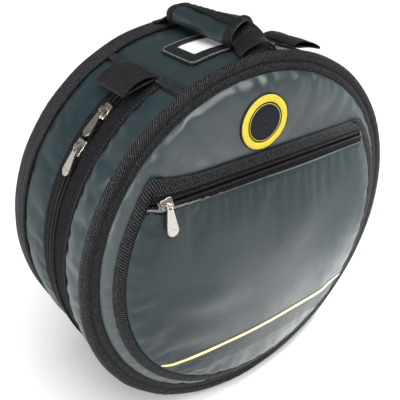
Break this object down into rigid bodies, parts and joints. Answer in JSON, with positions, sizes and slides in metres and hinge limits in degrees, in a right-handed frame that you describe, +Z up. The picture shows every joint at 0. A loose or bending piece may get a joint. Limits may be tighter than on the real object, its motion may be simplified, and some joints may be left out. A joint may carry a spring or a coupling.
{
  "type": "snare drum bag",
  "caption": "Round padded snare drum bag standing on its rims, with a zipped lid, a zipped outer pocket, a padded top handle, folded webbing loops and a card window.",
  "frame": {"origin": "centre of the bounding box at floor level, under the bag's standing rims", "axes": "+Z up, the lid with the pocket faces -Y, the drum's axis lies along Y"},
  "size_m": [0.406, 0.2012, 0.4316],
  "materials": {
    "coated_fabric": "satin, coated, padded",
    "black_webbing": "woven twill",
    "dark_trim": "matte with a light piping line",
    "padding": "open foam",
    "lining": "brushed tricot",
    "zipper_coil": "moulded coil",
    "nickel": "polished warm nickel",
    "clear_film": "clear flexible film",
    "white_card": "matte card",
    "badge_navy": "woven patch",
    "badge_yellow": "embroidered border",
    "stripe_cream": "printed trim"
  },
  "bodies": {
    "body": {"back_panel": "coated_fabric", "back_padding": "padding", "back_lining": "lining", "back_gusset": "coated_fabric", "back_gusset_padding": "padding", "back_gusset_lining": "lining", "top_panel": "coated_fabric", "top_padding": "padding", "top_lining": "lining", "left_cross_seam": "black_webbing", "right_cross_seam": "black_webbing", "back_rim_band": "black_webbing", "back_zipper_tape": "black_webbing", "back_zipper_coil": "zipper_coil", "main_zipper_stops": "nickel", "card_window_frame": "dark_trim", "card_window_film": "clear_film"},
    "lid": {"front_panel": "coated_fabric", "front_padding": "padding", "front_lining": "lining", "front_gusset": "coated_fabric", "front_gusset_padding": "padding", "front_gusset_lining": "lining", "front_rim_band": "black_webbing", "front_zipper_tape": "black_webbing", "front_zipper_coil": "zipper_coil", "pocket_panel": "coated_fabric", "pocket_binding": "black_webbing", "pocket_upper_tape": "black_webbing", "pocket_lower_tape": "black_webbing", "pocket_upper_coil": "zipper_coil", "pocket_lower_coil": "zipper_coil", "pocket_zipper_stops": "nickel", "badge_patch": "badge_navy", "badge_border": "badge_yellow", "stripe_trim": "stripe_cream"},
    "card": {"identity_card": "white_card"},
    "handle": {"handle_webbing": "black_webbing", "handle_grip": "coated_fabric", "grip_binding_front": "black_webbing", "grip_binding_back": "black_webbing"},
    "left_loop": {"left_strap_loop": "black_webbing"},
    "right_loop": {"right_strap_loop": "black_webbing"},
    "upper_zip_slider": {"upper_slider": "nickel"},
    "upper_zip_pull": {"upper_pull": "nickel"},
    "lower_zip_slider": {"lower_slider": "nickel"},
    "lower_zip_pull": {"lower_pull": "nickel"},
    "pocket_zip_slider": {"pocket_slider": "nickel"},
    "pocket_zip_pull": {"pocket_pull": "nickel"}
  },
  "joints": [
    {"name": "lid_opening", "type": "hinge", "parent": "body", "child": "lid", "pos_m": [0, -0.06536, 0.405], "axis": [-1, 0, 0], "range_deg": [0, 110], "deforming": ["front_zipper_tape", "front_zipper_coil"]},
    {"name": "upper_slider_travel", "type": "hinge", "parent": "body", "child": "upper_zip_slider", "pos_m": [0, -0.00136, 0.202], "axis": [0, -1, 0], "range_deg": [-4.5, 0.5]},
    {"name": "upper_pull_swing", "type": "hinge", "parent": "upper_zip_slider", "child": "upper_zip_pull", "pos_m": [-0.13071, -0.00136, 0.36057], "axis": [0, 1, 0], "range_deg": [0, 130]},
    {"name": "lower_slider_travel", "type": "hinge", "parent": "body", "child": "lower_zip_slider", "pos_m": [0, -0.00136, 0.202], "axis": [0, -1, 0], "range_deg": [0, 262]},
    {"name": "lower_pull_swing", "type": "hinge", "parent": "lower_zip_slider", "child": "lower_zip_pull", "pos_m": [-0.1597, -0.00136, 0.33132], "axis": [0, 1, 0], "range_deg": [0, 130]},
    {"name": "pocket_slider_travel", "type": "slide", "parent": "lid", "child": "pocket_zip_slider", "axis": [1, 0, 0], "range_m": [0, 0.242]},
    {"name": "pocket_pull_swing", "type": "hinge", "parent": "pocket_zip_slider", "child": "pocket_zip_pull", "pos_m": [-0.121, -0.09435, 0.29969], "axis": [-1, 0, 0], "range_deg": [0, 130]},
    {"name": "handle_sway", "type": "hinge", "parent": "body", "child": "handle", "pos_m": [0, 0.01464, 0.4025], "axis": [0, 1, 0], "range_deg": [-33, 33], "stiffness_Nm_per_rad": 0.03, "deforming": ["handle_webbing"]},
    {"name": "left_loop_fold", "type": "hinge", "parent": "body", "child": "left_loop", "pos_m": [-0.08921, 0.00464, 0.389], "axis": [0, 1, 0], "range_deg": [0, 60], "stiffness_Nm_per_rad": 0.004},
    {"name": "right_loop_fold", "type": "hinge", "parent": "body", "child": "right_loop", "pos_m": [0.0882, 0.00464, 0.38928], "axis": [0, -1, 0], "range_deg": [-11, 45], "stiffness_Nm_per_rad": 0.004},
    {"name": "card_slide", "type": "hinge", "parent": "body", "child": "card", "pos_m": [0, -0.00036, 0.202], "axis": [0, 1, 0], "range_deg": [0, 11.5]}
  ]
}
